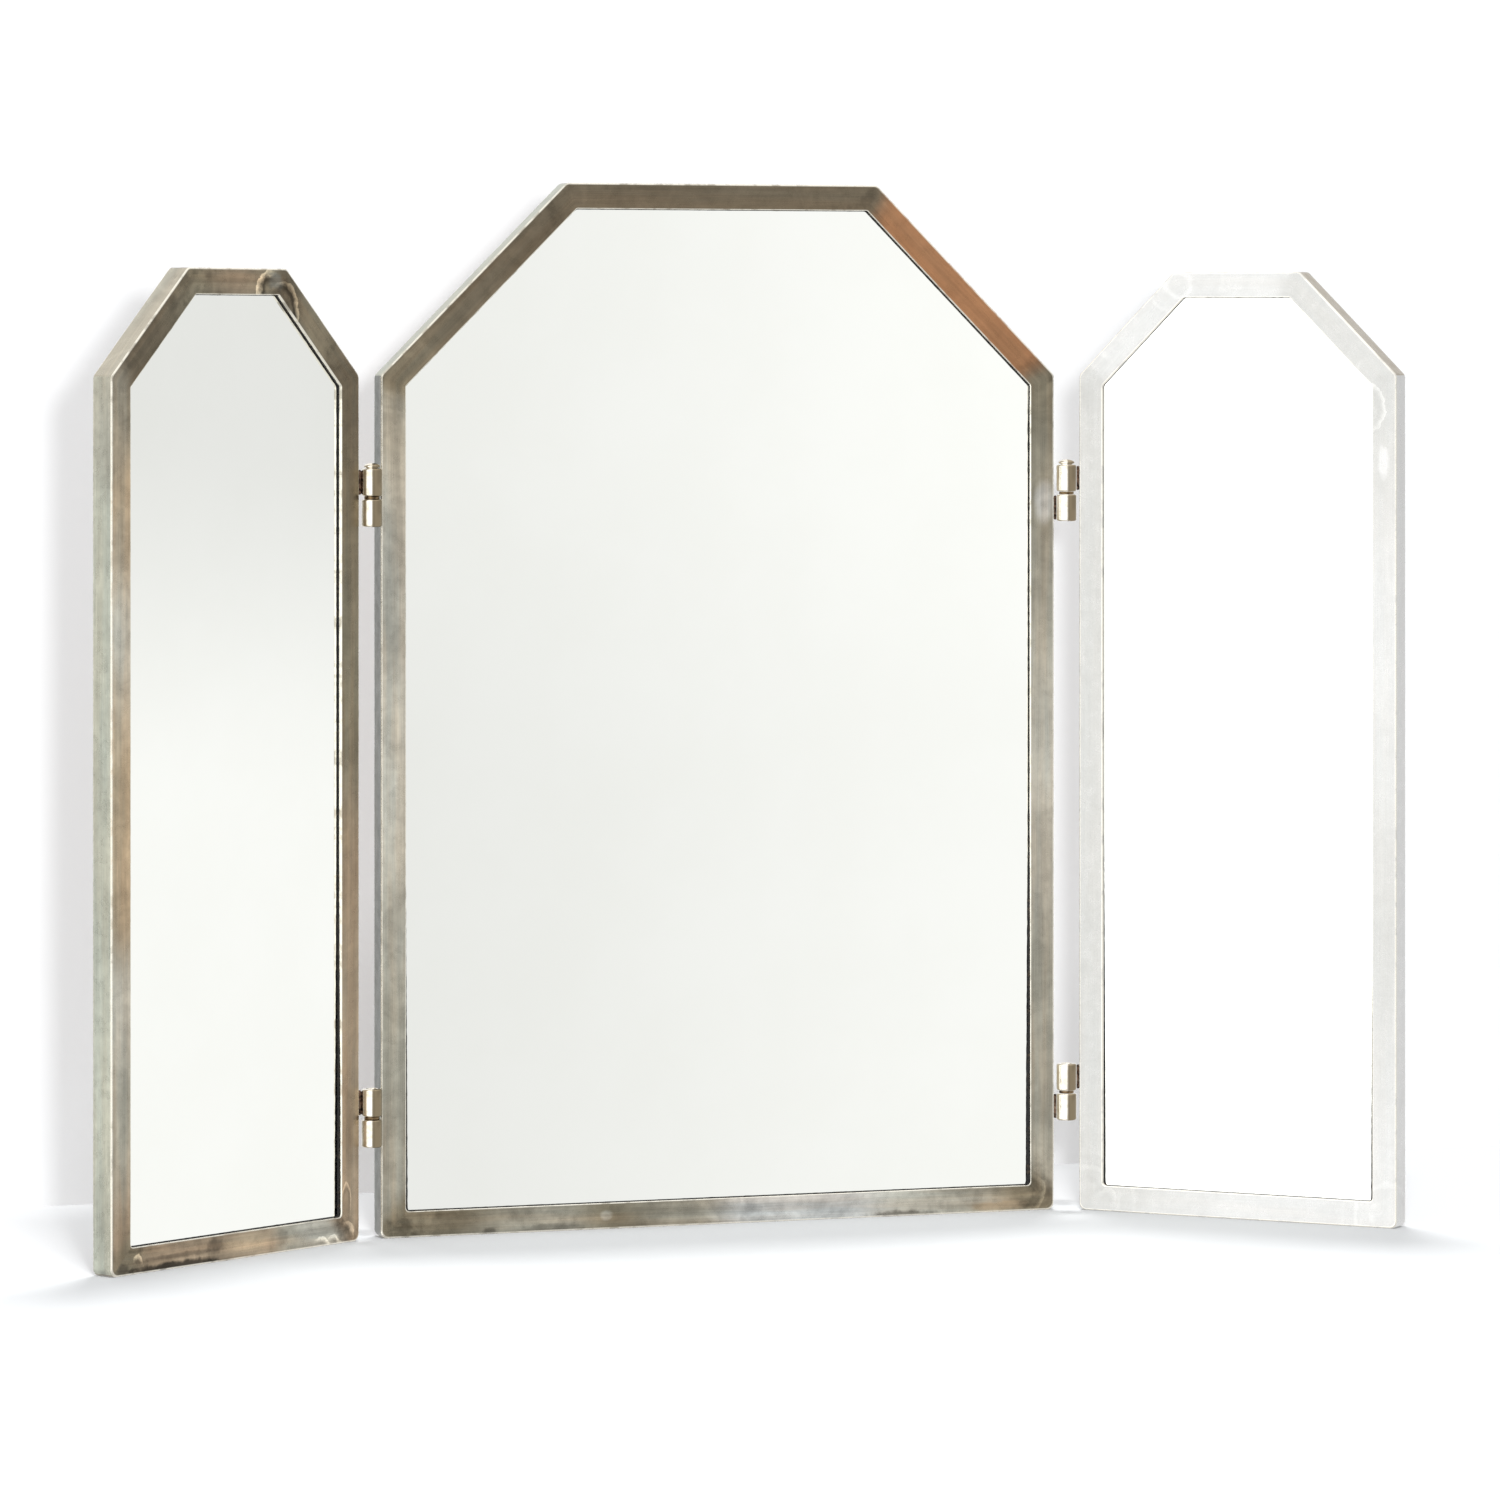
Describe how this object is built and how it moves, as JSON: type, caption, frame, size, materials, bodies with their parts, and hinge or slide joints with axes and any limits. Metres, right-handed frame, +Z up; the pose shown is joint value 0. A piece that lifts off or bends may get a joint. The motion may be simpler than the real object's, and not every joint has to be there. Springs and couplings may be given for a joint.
{
  "type": "trifold mirror",
  "caption": "Trifold vanity mirror: chamfer-topped panes in welded angle-bar frames, with side wings that swing on weld-on barrel hinges; stands or hangs.",
  "frame": {"origin": "middle of the centre panel's underside", "axes": "+X across the centre panel to the viewer's right, +Y to the back, +Z up; the mirrors face -Y"},
  "size_m": [0.9684, 0.2036, 0.762],
  "materials": {
    "frame_metal": "antiqued nickel over brushed steel, warm grey to bronze",
    "hinge_metal": "polished nickel",
    "washers": "turned",
    "mirror": "silvered float glass",
    "foam": "thin foam sheet",
    "board": "hardboard, smooth side out",
    "plate_steel": "same plating as the frame"
  },
  "bodies": {
    "centre": {"centre_backing_board": "board", "centre_bottom_rail": "frame_metal", "centre_glazing_pad": "foam", "centre_left_chamfer_rail": "frame_metal", "centre_left_stile": "frame_metal", "centre_mirror_glass": "mirror", "centre_retaining_tabs": "plate_steel", "centre_right_chamfer_rail": "frame_metal", "centre_right_stile": "frame_metal", "centre_top_rail": "frame_metal", "left_hanger_plate": "plate_steel", "left_lower_hinge_frame_knuckle": "hinge_metal", "left_lower_hinge_pin": "hinge_metal", "left_lower_hinge_washer": "washers", "left_upper_hinge_frame_knuckle": "hinge_metal", "left_upper_hinge_pin": "hinge_metal", "left_upper_hinge_washer": "washers", "right_hanger_plate": "plate_steel", "right_lower_hinge_frame_knuckle": "hinge_metal", "right_lower_hinge_pin": "hinge_metal", "right_lower_hinge_washer": "washers", "right_upper_hinge_frame_knuckle": "hinge_metal", "right_upper_hinge_pin": "hinge_metal", "right_upper_hinge_washer": "washers"},
    "left_wing": {"left_lower_hinge_wing_knuckle": "hinge_metal", "left_upper_hinge_wing_knuckle": "hinge_metal", "left_wing_backing_board": "board", "left_wing_bottom_rail": "frame_metal", "left_wing_glazing_pad": "foam", "left_wing_inner_chamfer_rail": "frame_metal", "left_wing_inner_stile": "frame_metal", "left_wing_mirror_glass": "mirror", "left_wing_outer_chamfer_rail": "frame_metal", "left_wing_outer_stile": "frame_metal", "left_wing_retaining_tabs": "plate_steel", "left_wing_top_rail": "frame_metal"},
    "right_wing": {"right_lower_hinge_wing_knuckle": "hinge_metal", "right_upper_hinge_wing_knuckle": "hinge_metal", "right_wing_backing_board": "board", "right_wing_bottom_rail": "frame_metal", "right_wing_glazing_pad": "foam", "right_wing_inner_chamfer_rail": "frame_metal", "right_wing_inner_stile": "frame_metal", "right_wing_mirror_glass": "mirror", "right_wing_outer_chamfer_rail": "frame_metal", "right_wing_outer_stile": "frame_metal", "right_wing_retaining_tabs": "plate_steel", "right_wing_top_rail": "frame_metal"}
  },
  "joints": [
    {"name": "left_wing_hinge", "type": "hinge", "parent": "centre", "child": "left_wing", "pos_m": [-0.268, -0.014, 0.311], "axis": [0, 0, 1], "range_deg": [-69, 148]},
    {"name": "right_wing_hinge", "type": "hinge", "parent": "centre", "child": "right_wing", "pos_m": [0.268, -0.014, 0.311], "axis": [0, 0, -1], "range_deg": [-82, 135]}
  ]
}
